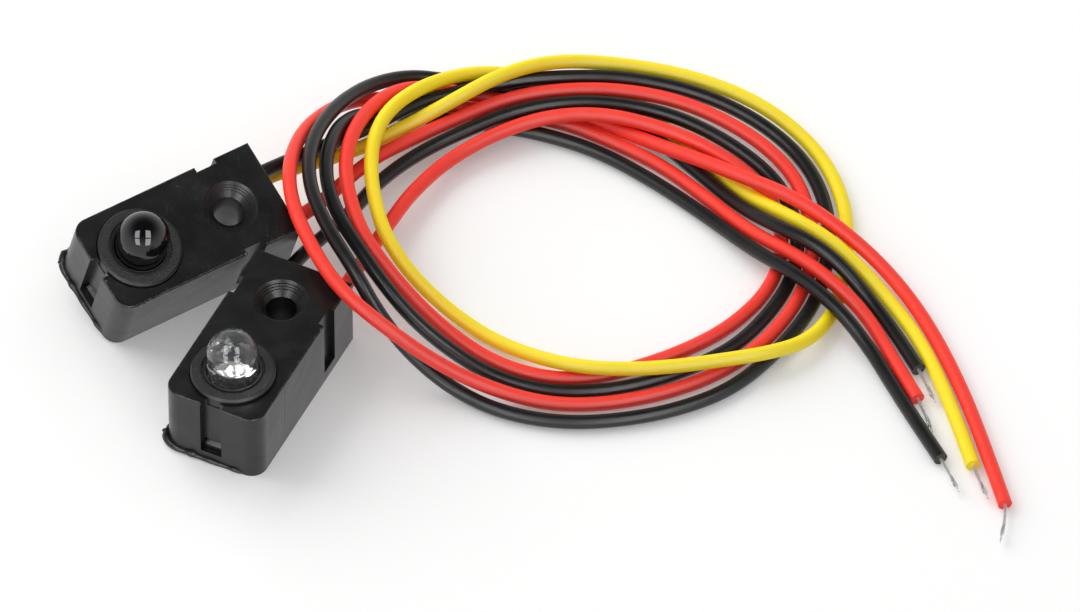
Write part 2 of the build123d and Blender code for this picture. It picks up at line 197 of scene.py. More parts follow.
def make_half_space():
    """Object coordinates turned into a half's own millimetres."""
    tree, given, result = new_group(
        "Half space",
        [("Vector", "Vector", None), ("Place", "Vector", (0, 0, 0)), ("Turn", "Vector", (0, 0, 0))],
        [("Vector", "Vector")],
    )
    big = scaled(tree, given["Vector"], IN_MM)
    moved = node(
        tree, "ShaderNodeVectorMath", {0: big, 1: given["Place"]}, operation="SUBTRACT"
    ).outputs[0]
    turned = node(
        tree,
        "ShaderNodeVectorRotate",
        {"Vector": moved, "Rotation": given["Turn"]},
        rotation_type="EULER_XYZ",
        invert=True,
    )
    tree.links.new(turned.outputs[0], result["Vector"])
    return tree


def make_grain():
    """Fine moulded grain: slight changes of colour and gloss, and a shallow relief."""
    tree, given, result = new_group(
        "Moulded grain",
        [
            ("Vector", "Vector", None),
            ("Colour", "Color", grey(0.02)),
            ("Light Colour", "Color", grey(0.05)),
            ("Grain", "Float", 6.0),
            ("Roughness", "Float", 0.4),
            ("Spread", "Float", 0.15),
        ],
        [("Colour", "Color"), ("Roughness", "Float"), ("Height", "Float")],
    )
    fine = noise_at(tree, given["Vector"], given["Grain"], 4.0, 0.6)
    broad = noise_at(tree, given["Vector"], 0.35, 3.0, 0.6)
    pale = calc(tree, "ADD", fade(tree, broad, 0.35, 0.75), fade(tree, fine, 0.5, 0.8))
    share = calc(tree, "MULTIPLY", pale, 0.35)
    tree.links.new(blend(tree, share, given["Colour"], given["Light Colour"]), result["Colour"])
    swing = calc(tree, "SUBTRACT", calc(tree, "ADD", broad, fine), 1.0)
    rough = calc(tree, "ADD", given["Roughness"], calc(tree, "MULTIPLY", swing, given["Spread"]))
    tree.links.new(rough, result["Roughness"])
    tree.links.new(fine, result["Height"])
    return tree


def make_scratches():
    """Fine straight scratches in one direction, broken up into patches."""
    tree, given, result = new_group(
        "Scratches",
        [
            ("Vector", "Vector", None),
            ("Turn", "Float", 0.6),
            ("Length", "Float", 0.25),
            ("Width", "Float", 9.0),
            ("Amount", "Float", 0.5),
        ],
        [("Mask", "Float")],
    )
    turned = node(
        tree,
        "ShaderNodeVectorRotate",
        {"Vector": given["Vector"], "Angle": given["Turn"]},
        rotation_type="Z_AXIS",
    ).outputs[0]
    stretch = node(
        tree, "ShaderNodeCombineXYZ", {0: given["Length"], 1: given["Width"], 2: given["Length"]}
    ).outputs[0]
    lines = noise_at(tree, scaled(tree, turned, stretch), 1.0, 2.0, 0.4)
    patches = noise_at(tree, given["Vector"], 0.45, 2.0, 0.5)
    edge = calc(tree, "SUBTRACT", 0.78, calc(tree, "MULTIPLY", given["Amount"], 0.16))
    cut = fade(tree, calc(tree, "SUBTRACT", lines, edge), 0.0, 0.03)
    mask = calc(tree, "MULTIPLY", cut, fade(tree, patches, 0.42, 0.6))
    tree.links.new(mask, result["Mask"])
    return tree


def make_edge_wear_and_highlight():
    """Where the top edges of a housing are rubbed and nicked, with a painted highlight along them.
    """
    tree, given, result = new_group(
        "Edge wear and highlight", [("Vector", "Vector", None), ("Reach", "Float", 0.3)], [("Mask", "Float")]
    )
    x, y, z = parts_of(tree, given["Vector"])
    side = calc(tree, "SUBTRACT", housing_width / 2, calc(tree, "ABSOLUTE", x))
    front = calc(tree, "SUBTRACT", y, front_y)
    rear = calc(tree, "SUBTRACT", hole_to_rear, y)
    below = calc(tree, "SUBTRACT", housing_height, z)
    inward = calc(tree, "MINIMUM", side, calc(tree, "MINIMUM", front, rear))
    reach = length_of(tree, inward, below)
    near = calc(tree, "SUBTRACT", 1.0, fade(tree, reach, 0.05, given["Reach"]))
    chips = noise_at(tree, given["Vector"], 2.6, 4.0, 0.65)
    mask = calc(tree, "MULTIPLY", near, fade(tree, chips, 0.47, 0.6))
    tree.links.new(mask, result["Mask"])
    return tree


half_space = make_half_space()
grain = make_grain()
scratches = make_scratches()
edge_wear_and_highlight = make_edge_wear_and_highlight()


def start_material(name):
    """A new material: its tree, its shader and its object coordinates."""
    made = bpy.data.materials.new(name)
    made.use_nodes = True
    tree = made.node_tree
    coordinates = tree.nodes.new("ShaderNodeTexCoord").outputs["Object"]
    return made, tree, tree.nodes["Principled BSDF"], coordinates


def local(tree, coordinates, half):
    """A half's own coordinates in millimetres."""
    place = places[half].to_translation()
    turn = Vector(places[half].to_euler())
    return grouped(tree, half_space, Vector=coordinates, Place=place, Turn=turn)["Vector"]


def bump(tree, shader, height, strength, distance):
    """Relief of a height map, its distance in millimetres."""
    inputs = {"Height": height, "Strength": strength, "Distance": distance * MM}
    tree.links.new(node(tree, "ShaderNodeBump", inputs).outputs[0], shader.inputs["Normal"])


def housing_material(half):
    """Semi-matte black plastic, rubbed along its top edges with a painted highlight there, and
    lightly scratched on top.
    """
    made, tree, shader, coordinates = start_material(f"{half}_housing_plastic")
    own = local(tree, coordinates, half)
    amount = scratch_amount[half]
    base = grouped(
        tree, grain, Vector=own, Colour=(0.0042, 0.0044, 0.0043, 1), Light_Colour=grey(0.02),
        Grain=5.0, Roughness=0.33, Spread=0.12,
    )
    marks = grouped(tree, scratches, Vector=own, Turn=0.5, Amount=amount)["Mask"]
    crossing = grouped(
        tree, scratches, Vector=own, Turn=2.3, Length=0.4, Width=14.0, Amount=amount * 0.6
    )["Mask"]
    wear_and_highlight = grouped(tree, edge_wear_and_highlight, Vector=own, Reach=0.3)["Mask"]
    scratched = calc(tree, "MAXIMUM", marks, crossing)
    # Scratches, rubbing and nicks are painted paler; along the top edges this paler colour is also
    # a painted highlight
    light = calc(tree, "MULTIPLY", calc(tree, "MAXIMUM", scratched, wear_and_highlight), 0.5)
    tree.links.new(blend(tree, light, base["Colour"], grey(0.07)), shader.inputs["Base Color"])
    rough = calc(tree, "ADD", base["Roughness"], calc(tree, "MULTIPLY", wear_and_highlight, 0.2))
    tree.links.new(rough, shader.inputs["Roughness"])
    x, y, z = parts_of(tree, own)
    height = calc(tree, "MULTIPLY", base["Height"], 0.5)
    height = calc(tree, "SUBTRACT", height, calc(tree, "MULTIPLY", scratched, 0.6))
    # Slight waves where the walls sank as they cooled, and drag marks from the mould
    sink = noise_at(tree, own, 0.17, 2.0, 0.45)
    drag = noise_at(tree, scaled(tree, own, (2.5, 2.5, 0.15)), 1.0, 3.0, 0.6)
    height = calc(tree, "ADD", height, calc(tree, "MULTIPLY", sink, 16.0))
    height = calc(tree, "ADD", height, calc(tree, "MULTIPLY", drag, 0.7))
    if half == "emitter":
        # Parting line down the right side, as far as the tool's insert reached
        off = calc(tree, "ABSOLUTE", calc(tree, "SUBTRACT", y, parting_line_y))
        thin = calc(tree, "SUBTRACT", 1.0, fade(tree, off, 0.02, 0.09))
        on_side = calc(
            tree, "MULTIPLY", calc(tree, "GREATER_THAN", x, 5.0), fade(tree, z, 2.4, 3.0)
        )
        line = calc(tree, "MULTIPLY", thin, on_side)
        height = calc(tree, "SUBTRACT", height, calc(tree, "MULTIPLY", line, 9.0))
    bump(tree, shader, height, 0.35, 0.05)
    return made


def collar_material(half):
    """Black plastic with a spark-eroded stipple on its flat face."""
    made, tree, shader, coordinates = start_material(f"{half}_collar_plastic")
    own = local(tree, coordinates, half)
    base = grouped(
        tree, grain, Vector=own, Colour=grey(0.008), Light_Colour=grey(0.03),
        Grain=9.0, Roughness=0.4, Spread=0.25,
    )
    x, y = parts_of(tree, own)[:2]
    radius = length_of(tree, x, calc(tree, "SUBTRACT", y, led_y))
    within = calc(tree, "SUBTRACT", 1.0, fade(tree, radius, 3.8, 3.95))
    face = calc(tree, "MULTIPLY", fade(tree, radius, 2.7, 2.8), within)
    cells = node(tree, "ShaderNodeTexVoronoi", {"Vector": own, "Scale": 8.5}).outputs["Distance"]
    stipple = calc(tree, "MULTIPLY", cells, face)
    speck = calc(tree, "MULTIPLY", fade(tree, stipple, 0.5, 0.8), 0.3)
    tree.links.new(blend(tree, speck, base["Colour"], grey(0.06)), shader.inputs["Base Color"])
    rough = calc(tree, "ADD", base["Roughness"], calc(tree, "MULTIPLY", face, 0.1))
    tree.links.new(rough, shader.inputs["Roughness"])
    height = calc(tree, "ADD", stipple, calc(tree, "MULTIPLY", base["Height"], 0.3))
    bump(tree, shader, height, 0.8, 0.08)
    return made


def clear_material():
    """Clear cast epoxy with a faintly uneven skin."""
    made, tree, shader, coordinates = start_material("clear_epoxy")
    own = local(tree, coordinates, "emitter")
    wave = noise_at(tree, own, 0.9, 2.0, 0.4)
    fine = noise_at(tree, own, 7.0, 3.0, 0.5)
    shader.inputs["Transmission Weight"].default_value = 0.97
    shader.inputs["IOR"].default_value = 1.54
    tint = blend(tree, wave, (0.97, 0.985, 1.0, 1), (1.0, 1.0, 0.985, 1))
    tree.links.new(tint, shader.inputs["Base Color"])
    tree.links.new(calc(tree, "MULTIPLY", fine, 0.04), shader.inputs["Roughness"])
    bump(tree, shader, wave, 0.6, 0.16)
    return made


def dark_material():
    """Nearly black epoxy, polished."""
    made, tree, shader, coordinates = start_material("dark_epoxy")
    own = local(tree, coordinates, "receiver")
    base = grouped(
        tree, grain, Vector=own, Colour=(0.002, 0.002, 0.003, 1),
        Light_Colour=(0.005, 0.0045, 0.008, 1), Grain=3.0, Roughness=0.04, Spread=0.04,
    )
    tree.links.new(base["Colour"], shader.inputs["Base Color"])
    tree.links.new(base["Roughness"], shader.inputs["Roughness"])
    shader.inputs["IOR"].default_value = 1.55
    bump(tree, shader, noise_at(tree, own, 0.8, 2.0, 0.4), 0.08, 0.05)
    return made


def insulation_material(name, colour, light, roughness):
    """Satin soft plastic of a wire, with a slight drawn texture and faint scuffs."""
    made, tree, shader, coordinates = start_material(f"{name}_insulation")
    own = scaled(tree, coordinates, IN_MM)
    base = grouped(
        tree, grain, Vector=own, Colour=colour, Light_Colour=light,
        Grain=3.5, Roughness=roughness, Spread=0.14,
    )
    marks = grouped(
        tree, scratches, Vector=own, Turn=1.1, Length=0.6, Width=6.0, Amount=0.5
    )["Mask"]
    scuffed = blend(tree, calc(tree, "MULTIPLY", marks, 0.2), base["Colour"], light)
    tree.links.new(scuffed, shader.inputs["Base Color"])
    rough = calc(tree, "ADD", base["Roughness"], calc(tree, "MULTIPLY", marks, 0.15))
    tree.links.new(rough, shader.inputs["Roughness"])
    bump(tree, shader, base["Height"], 0.25, 0.04)
    return made


def simple_material(name, colour, light, roughness, grain_scale, relief, metallic=0.0):
    """A small inner piece's surface, of one colour with patches of a second."""
    made, tree, shader, coordinates = start_material(name)
    own = scaled(tree, coordinates, IN_MM)
    base = grouped(
        tree, grain, Vector=own, Colour=colour, Light_Colour=light,
        Grain=grain_scale, Roughness=roughness, Spread=0.25,
    )
    tree.links.new(base["Colour"], shader.inputs["Base Color"])
    tree.links.new(base["Roughness"], shader.inputs["Roughness"])
    shader.inputs["Metallic"].default_value = metallic
    bump(tree, shader, base["Height"], relief, 0.04)
    return made


housing_plastic = {half: housing_material(half) for half in places}
collar_plastic = {half: collar_material(half) for half in places}
clear_epoxy = clear_material()
dark_epoxy = dark_material()
insulation = {
    "red": insulation_material("red", (1.0, 0.03, 0.012, 1), (1.0, 0.055, 0.028, 1), 0.47),
    "black": insulation_material(
        "black", (0.004, 0.0042, 0.0042, 1), (0.013, 0.0135, 0.0135, 1), 0.38
    ),
    "yellow": insulation_material("yellow", (1.0, 0.77, 0.0, 1), (1.0, 0.83, 0.01, 1), 0.47),
}
strand_metal = simple_material("tinned_strands", grey(0.85), grey(0.55), 0.3, 5.0, 0.4, 0.85)
lead_metal = simple_material("tinned_leads", (0.82, 0.81, 0.78, 1), grey(0.62), 0.22, 4.0, 0.3, 1.0)
solder_metal = simple_material("solder", grey(0.75), grey(0.55), 0.25, 3.0, 0.5, 1.0)
silicon = simple_material(
    "silicon", (0.14, 0.14, 0.19, 1), (0.22, 0.21, 0.26, 1), 0.15, 5.0, 0.1, 1.0
)
board_green = simple_material(
    "board", (0.012, 0.05, 0.028, 1), (0.03, 0.09, 0.05, 1), 0.35, 3.0, 0.3
)
resistor_black = simple_material("resistor", grey(0.02), grey(0.06), 0.3, 6.0, 0.3)
capacitor_tan = simple_material(
    "capacitor", (0.3, 0.17, 0.08, 1), (0.45, 0.3, 0.17, 1), 0.4, 5.0, 0.3
)


# Carried-over solids and their materials

def dress(name, material):
    """Gives a carried-over solid its material."""
    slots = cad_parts[name].data.materials
    for index in range(max(1, len(slots))):
        if slots:
            slots[index] = material
        else:
            slots.append(material)


wire_colours = {"emitter": ("black", "red"), "receiver": ("black", "red", "yellow")}
leads = {
    "emitter": ("cathode", "anode"),
    "receiver": ("supply_lead", "ground_lead", "signal_lead"),
}
for half, colours in wire_colours.items():
    dress(f"{half}_housing", housing_plastic[half])
    dress(f"{half}_base_cover", housing_plastic[half])
    dress(f"{half}_led_collar", collar_plastic[half])
    dress(f"{half}_circuit_board", board_green)
    dress(f"{half}_chip", silicon)
    for colour in colours:
        dress(f"{half}_{colour}_wire_inner_end", strand_metal)
        dress(f"{half}_{colour}_wire_solder", solder_metal)
    for number, lead in enumerate(leads[half], start=1):
        dress(f"{half}_{lead}", lead_metal)
        dress(f"{half}_lead_solder_{number}", solder_metal)
dress("emitter_resistor", resistor_black)
dress("receiver_capacitor", capacitor_tan)


# Pieces

def add_piece(name, data, material, slot, *nodes):
    """A finished piece on the object's one body, in place of the named solids."""
    data.materials.append(material)
    made = bpy.data.objects.new(name, data)
    bpy.context.collection.objects.link(made)
    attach(made, "root")
    if nodes:
        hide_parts(*nodes)
    return made


def finished_mesh(shape, name, place):
    """Puts a bmesh in its half's place, in metres, and turns it into a mesh with crisp edges."""
    bmesh.ops.transform(shape, matrix=Matrix.Scale(MM, 4) @ place, verts=shape.verts)
    bmesh.ops.recalc_face_normals(shape, faces=shape.faces)
    for face in shape.faces:
        face.smooth = True
    for edge in shape.edges:
        edge.smooth = edge.calc_face_angle(0) < crisp_angle
    mesh = bpy.data.meshes.new(name)
    shape.to_mesh(mesh)
    shape.free()
    return mesh


def spin_round(shape, section, steps):
    """Spins a section once round its half's upright axis, and closes the seam and poles."""
    bmesh.ops.spin(
        shape, geom=section, cent=(0, 0, 0), axis=(0, 0, 1), angle=2 * pi, steps=steps,
        use_merge=True,
    )
    bmesh.ops.remove_doubles(shape, verts=shape.verts, dist=merge_distance)


def led_body(half, material, slot):
    """The cast LED body, spun from its profile: flange with its flat, straight barrel and dome."""
    profile = [
        (0, flange_bottom),
        (flange_radius - flange_foot_chamfer, flange_bottom),
        (flange_radius, flange_bottom + flange_foot_chamfer),
        (flange_radius, flange_top - flange_top_chamfer),
        (flange_radius - flange_top_chamfer, flange_top),
        (led_radius + barrel_chamfer, flange_top),
        (led_radius, flange_top + barrel_chamfer),
    ]
    for step in range(dome_steps):
        angle = pi / 2 * step / dome_steps
        profile.append((led_radius * cos(angle), dome_centre + led_radius * sin(angle)))
    profile.append((0, dome_centre + led_radius))
    shape = bmesh.new()
    corners = [shape.verts.new((radius, 0, height)) for radius, height in profile]
    lines = [shape.edges.new(pair) for pair in zip(corners, corners[1:])]
    spin_round(shape, corners + lines, 96)
    for vert in shape.verts:
        if vert.co.z < flange_top + 0.01:
            vert.co.x = max(vert.co.x, -flange_flat)
    place = places[half] @ Matrix.Translation((0, led_y, 0))
    mesh = finished_mesh(shape, f"{half}_led_body", place)
    return add_piece(f"{half}_led_body", mesh, material, slot, f"{half}_led_lens")


led_body("emitter", clear_epoxy, "clear_lens")
led_body("receiver", dark_epoxy, "dark_lens")

# Flash squeezed out along the foot of each front wall, as points and thicknesses
flash_line = [
    (-5.1, -12.3, 0.3, 0.1), (-5.2, -12.75, 0.42, 0.32), (-5.3, -13.25, 0.48, 0.46),
    (-5.16, -13.7, 0.42, 0.4), (-5.12, -14.15, 0.5, 0.56), (-4.8, -14.6, 0.42, 0.5),
    (-4.3, -14.95, 0.4, 0.4), (-3.5, -15.1, 0.32, 0.34), (-2.7, -15.06, 0.26, 0.28),
    (-2.1, -15.13, 0.36, 0.4), (-1.7, -15.08, 0.28, 0.28), (-0.9, -15.08, 0.22, 0.24),
    (-0.1, -15.1, 0.28, 0.3), (1.1, -15.06, 0.22, 0.22), (1.9, -15.04, 0.18, 0.2),
    (2.5, -15.08, 0.24, 0.26), (3.3, -14.99, 0.16, 0.16), (4.1, -14.75, 0.12, 0.08),
]
# Torn bits on the flash, at the channel and along the right edge, as places and sizes
burr_spots = {
    "emitter": [
        (-5.35, -13.1, 0.72, 0.24), (-5.4, -13.9, 0.7, 0.3), (-5.0, -14.75, 0.66, 0.26),
        (-4.1, -15.2, 0.5, 0.2), (-2.1, -15.25, 0.5, 0.18),
        (-1.05, -15.0, 7.8, 0.1), (1.15, -14.9, 7.7, 0.08), (5.05, -1.7, 7.95, 0.14),
    ],
    "receiver": [
        (-5.38, -13.3, 0.7, 0.26), (-5.3, -14.3, 0.72, 0.28), (-4.6, -15.05, 0.6, 0.24),
        (-3.2, -15.25, 0.48, 0.18), (-1.15, -14.95, 8.0, 0.2), (-0.65, -14.33, 7.97, 0.13),
        (1.5, -14.9, 8.0, 0.2), (1.2, -14.75, 7.95, 0.14), (5.0, -13.4, 7.95, 0.17),
        (5.04, -12.7, 7.95, 0.19), (5.05, -11.65, 7.95, 0.13), (5.05, -11.0, 7.95, 0.15),
        (5.0, -1.2, 7.95, 0.2),
    ],
}


def moulding_flash(half):
    """The wavy lip of squeezed-out plastic along the foot of the front wall."""
    curve = bpy.data.curves.new(f"{half}_moulding_flash", "CURVE")
    curve.dimensions = "3D"
    curve.bevel_depth = MM
    curve.bevel_resolution = 3
    curve.resolution_u = 6
    curve.use_fill_caps = True
    spline = curve.splines.new("NURBS")
    spline.points.add(len(flash_line) - 1)
    for knot, (x, y, z, radius) in zip(spline.points, flash_line):
        knot.co = (*at(places[half], x, y, max(z, radius * 1.02)), 1)
        knot.radius = radius
    spline.order_u = 3
    spline.use_endpoint_u = True
    add_piece(curve.name, curve, housing_plastic[half], "housing_plastic")


def burrs(half):
    """Small torn bits of plastic, each an uneven lump."""
    shape = bmesh.new()
    noise.seed_set(burr_seed)
    for x, y, z, size in burr_spots[half]:
        lump = bmesh.ops.create_icosphere(
            shape, subdivisions=2, radius=size, matrix=Matrix.Translation((x, y, z))
        )["verts"]
        for vert in lump:
            vert.co += noise.noise_vector(vert.co * burr_fineness) * size * burr_unevenness
    name = f"{half}_burrs"
    mesh = finished_mesh(shape, name, places[half])
    add_piece(name, mesh, housing_plastic[half], "housing_plastic")


def countersink_ribs(half):
    """Fine turning marks left on the countersink's cone by the mould, as closed rings."""
    shape = bmesh.new()
    for step in range(rib_count):
        radius = countersink_radius - rib_edge_gap - rib_spacing * (step + 1)
        height = housing_height - countersink_radius + radius
        corners = [
            shape.verts.new((radius + outward, 0, height + upward))
            for outward, upward in rib_section
        ]
        lines = [shape.edges.new(pair) for pair in zip(corners, corners[1:] + corners[:1])]
        spin_round(shape, corners + lines, 64)
    name = f"{half}_countersink_ribs"
    mesh = finished_mesh(shape, name, places[half])
    add_piece(name, mesh, housing_plastic[half], "housing_plastic")


for half in places:
    moulding_flash(half)
    burrs(half)
    countersink_ribs(half)

# Wires: how far the end of each bare tip is bent to the side, where each wire leaves its half
# and how far it runs straight there, and its length and course, which are those of its solid
tip_bends = {
    "receiver_red_wire": 0.5,
    "receiver_black_wire": 0.35,
    "receiver_yellow_wire": -0.3,
    "emitter_black_wire": 0.35,
    "emitter_red_wire": 1.7,
}
heights = {"black": 4.2, "red": 4.2, "yellow": 2.6}
sides = {"black": -wire_side, "red": wire_side, "yellow": -wire_side}
lead_out = {"emitter": 1.6, "receiver": 2.0}
routes = {
    "receiver_red_wire": [
        (-2.6, 23.2, 3.3), (-0.6, 28.1, 2.4), (2.3, 32.8, 2.3), (5.8, 37.7, 2.3),
        (10.1, 41, 2.3), (15.5, 43.5, 2.3), (21.8, 44.6, 2.3), (28.9, 43.7, 2.1),
        (34.1, 41.9, 1.1), (37.7, 38.2, 0.75), (40.5, 33.3, 0.75), (41.7, 27.6, 0.75),
        (41, 20.8, 0.75), (38.6, 15.3, 0.75), (34.9, 10.8, 0.75), (30.3, 7.1, 0.75),
        (25.6, 4.9, 0.8), (20.3, 3.7, 1.6), (15.5, 2.3, 4.2), (10.7, 1.4, 7.6),
        (5, 2.5, 9.4), (0.1, 6.1, 9.7), (-4.3, 10.6, 9.6), (-6.8, 15.2, 9.2),
        (-8.5, 21.4, 6.7), (-8.5, 27.2, 4.1), (-7.1, 31.5, 2.1), (-3.9, 34, 0.9),
        (0.8, 35.4, 0.75), (5.8, 36.9, 0.75), (10.9, 38.3, 0.75), (16.6, 38.1, 0.75),
        (22.3, 37.4, 0.75), (27.9, 35.5, 0.75), (33.9, 32.8, 1.4), (39.6, 31, 2.8),
        (44.5, 29.5, 2.6), (48.6, 28.1, 1.2), (52.8, 24.7, 0.75), (57.2, 21.1, 0.75),
    ],
    "receiver_black_wire": [
        (-4.5, 26.3, 3.75), (-2.3, 31.8, 2.9), (0.8, 35.7, 2.5), (4.9, 39.5, 2.5),
        (9.4, 42.5, 2.3), (14.7, 45, 2.3), (21.5, 46.3, 2.3), (28.4, 45.8, 2.1),
        (34.4, 43.9, 1.1), (38.8, 39.8, 0.75), (41.6, 34.4, 0.75), (43.3, 28.1, 0.75),
        (42.7, 21, 0.75), (40.9, 14.7, 0.75), (37.4, 10, 0.75), (32.9, 6.2, 0.75),
        (27.9, 3.4, 0.75), (22.1, 2.1, 0.75), (16.6, 2.6, 1), (12, 2.9, 3.6),
        (8.3, 3.8, 6.6), (4.9, 5.7, 9.1), (0.4, 9, 9.6), (-3.8, 13.4, 9.3),
        (-6.4, 18.9, 8.3), (-7.4, 25.4, 6.3), (-6.9, 31.6, 3.8), (-4.6, 36.1, 2),
        (-1, 38.2, 1), (3.6, 39.4, 0.75), (8.8, 41.4, 0.75), (14.7, 41.5, 0.75),
        (20.7, 40.2, 0.75), (26.3, 37.9, 0.75), (31.5, 35.5, 1.2), (36.2, 33.4, 3),
        (40.2, 32.5, 3.7), (43.9, 31.7, 3), (47.6, 30.3, 1.2), (51.9, 27.6, 0.75),
        (55.7, 24.5, 0.75),
    ],
    "receiver_yellow_wire": [
        (-4.4, 24.4, 2.7), (-1.6, 29.8, 2.3), (1.5, 33.4, 3.8), (4.4, 38.5, 4.2),
        (7.9, 42.9, 3.5), (13, 46.2, 2.3), (20.2, 47.9, 2.3), (27.7, 47.9, 2.1),
        (34.6, 45.9, 1.1), (39.7, 41.5, 0.75), (42.9, 35.9, 0.75), (44.5, 31, 0.75),
        (45.4, 27.1, 0.8), (45, 22.5, 1.6), (42.6, 18.9, 2.4), (39.4, 16.4, 2.4),
        (35.6, 13.6, 2.4), (31.7, 11.2, 2.4), (27.1, 9.3, 2.4), (22.4, 9.3, 1.5),
        (17.4, 10, 0.75), (12.2, 11.2, 1.2), (7.8, 12.1, 3.2), (4, 14.1, 5),
        (1.2, 17.5, 5.4), (-1.2, 21.4, 5.4), (-2.6, 25.2, 5.5), (-2.9, 29.6, 5),
        (-1.4, 34.8, 3.9), (1.8, 39.4, 2.5), (7.2, 42.6, 0.75), (13.5, 43.4, 0.75),
        (19.7, 42.2, 0.75), (25.4, 40, 0.75), (31.2, 37.2, 1.2), (36.8, 35.2, 2.8),
        (41.5, 34.3, 2.8), (45.7, 32.9, 1.8), (49.6, 31.1, 0.8), (54.3, 27.9, 0.75),
        (60, 22.3, 0.75), (65.5, 15.8, 0.75),
    ],
    "emitter_black_wire": [
        (-1.1, 16.9, 2.9), (-0.9, 22.4, 2.1), (1, 27.7, 2), (4, 32.2, 2.3),
        (7, 36.3, 2.3), (10.8, 39.5, 2.3), (15.7, 41.7, 2.3), (21.7, 42.6, 2.3),
        (28, 41.7, 2.1), (33.1, 40.3, 1.1), (36.6, 37.1, 0.75), (39.2, 32.6, 0.75),
        (40.1, 27.4, 0.75), (39.2, 20.6, 0.75), (36.7, 15.9, 0.75), (33.2, 11.6, 0.75),
        (29.2, 8.4, 0.75), (24.6, 6.3, 0.75), (19.5, 5.8, 0.9), (15.2, 6, 2),
        (11.1, 6.2, 4.2), (7.3, 7.4, 6.2), (3.4, 9.7, 7.4), (-0.7, 12.8, 7.7),
        (-3.8, 16.8, 7.7), (-5.5, 21.6, 6.9), (-6, 25.8, 5.2), (-5.3, 29.5, 2.8),
        (-2.8, 32.1, 1.3), (1, 33.6, 0.75), (5, 34.9, 0.75), (10.3, 36.1, 0.75),
        (16.1, 36.4, 0.75), (22.6, 35.2, 0.75), (28.9, 33.4, 0.75), (35.2, 30.7, 1.6),
        (40.8, 28.8, 2.8), (46, 26.8, 2.6), (50.2, 24.8, 1.2), (54.2, 21.7, 0.75),
        (58.4, 18.3, 0.75), (62.4, 15.2, 0.75),
    ],
    "emitter_red_wire": [
        (2.7, 17.2, 2.7), (2.6, 22.8, 2), (3.8, 28.6, 1.6), (6.8, 33.5, 2.1),
        (10.5, 37.4, 2.3), (15.4, 39.4, 2.9), (21.2, 40.3, 2.7), (26.7, 40.1, 2.3),
        (31.7, 39.3, 1.1), (35.4, 36.3, 0.75), (37.8, 31.8, 0.75), (38.5, 26.9, 0.75),
        (37.2, 21.5, 0.75), (34.7, 17, 0.75), (31.4, 12.9, 0.75), (28, 9.7, 0.75),
        (23.9, 7.8, 0.75), (19, 7.5, 0.75), (14.4, 8.2, 1.4), (10.1, 9, 3.2),
        (6.2, 10.2, 5.2), (2.7, 11.9, 6.8), (-0.6, 15.6, 7), (-3.1, 19.7, 6.8),
        (-4.5, 24.8, 6.1), (-4.7, 30.8, 4.1), (-3.2, 34.8, 2.4), (0, 36.9, 1.2),
        (4.3, 38.1, 0.75), (9, 39.6, 0.75), (14.6, 39.9, 0.75), (20.6, 38.7, 1.9),
        (26, 38.1, 2.7), (31.2, 37.6, 3.1), (36.4, 37.2, 3.3), (41.7, 36, 2.9),
        (47.4, 34.4, 1.4), (53.4, 30.7, 0.8), (60.1, 24.5, 0.75), (66.2, 17.6, 0.75),
        (70.3, 12.7, 0.75),
    ],
}


def round_curve(name, radius, resolution):
    """An empty curve whose splines become round rods."""
    curve = bpy.data.curves.new(name, "CURVE")
    curve.dimensions = "3D"
    curve.bevel_depth = radius * MM
    curve.bevel_resolution = resolution
    curve.use_fill_caps = True
    return curve


def add_spline(curve, points):
    """A smooth spline through a curve's points, given in millimetres."""
    spline = curve.splines.new("NURBS")
    spline.points.add(len(points) - 1)
    for knot, point in zip(spline.points, points):
        knot.co = (*(point * MM), 1)
    spline.order_u = 3
    spline.use_endpoint_u = True


def strand_tip(name, end, along):
    """Tinned strands, twisted together, bent aside and open at their end."""
    aside = Vector((along.y, -along.x, 0)) * tip_bends[name]
    turned = along.to_track_quat("Z", "Y").to_matrix()
    curve = round_curve(f"{name}_strands", strand_radius, 2)
    curve.resolution_u = 4
    for strand in range(strand_count):
        points = []
        for step in range(strand_steps + 1):
            share = step / strand_steps
            reach = bundle_radius * (1 + 1.2 * max(0, share - 0.6)) * min(strand, 1)
            angle = 2 * pi * strand / (strand_count - 1) + strand_twist * share
            own_length = tip_length * (1 - 0.05 * (strand * 5 % strand_count))
            height = -strand_root + (own_length + strand_root) * share
            offset = turned @ Vector((reach * cos(angle), reach * sin(angle), height))
            points.append(end + offset + aside * (max(0, height) / tip_length) ** 1.3)
        add_spline(curve, points)
    return add_piece(curve.name, curve, strand_metal, "tinned_copper", f"{name}_tip")


for name, points in routes.items():
    half, colour = name.split("_")[:2]
    place = places[half]
    x, z = sides[colour], heights[colour]
    ends = [place @ Vector((x, y, z)) for y in (wire_start_y, hole_to_rear + lead_out[half])]
    line = ends + [Vector(point) for point in points]
    curve = round_curve(f"{name}_insulation", wire_diameter / 2, 5)
    curve.resolution_u = 10
    add_spline(curve, line)
    wire = add_piece(curve.name, curve, insulation[colour], f"{colour}_insulation", name)
    tip = strand_tip(name, line[-1], (line[-1] - line[-2]).normalized())


# Ground, lights and camera

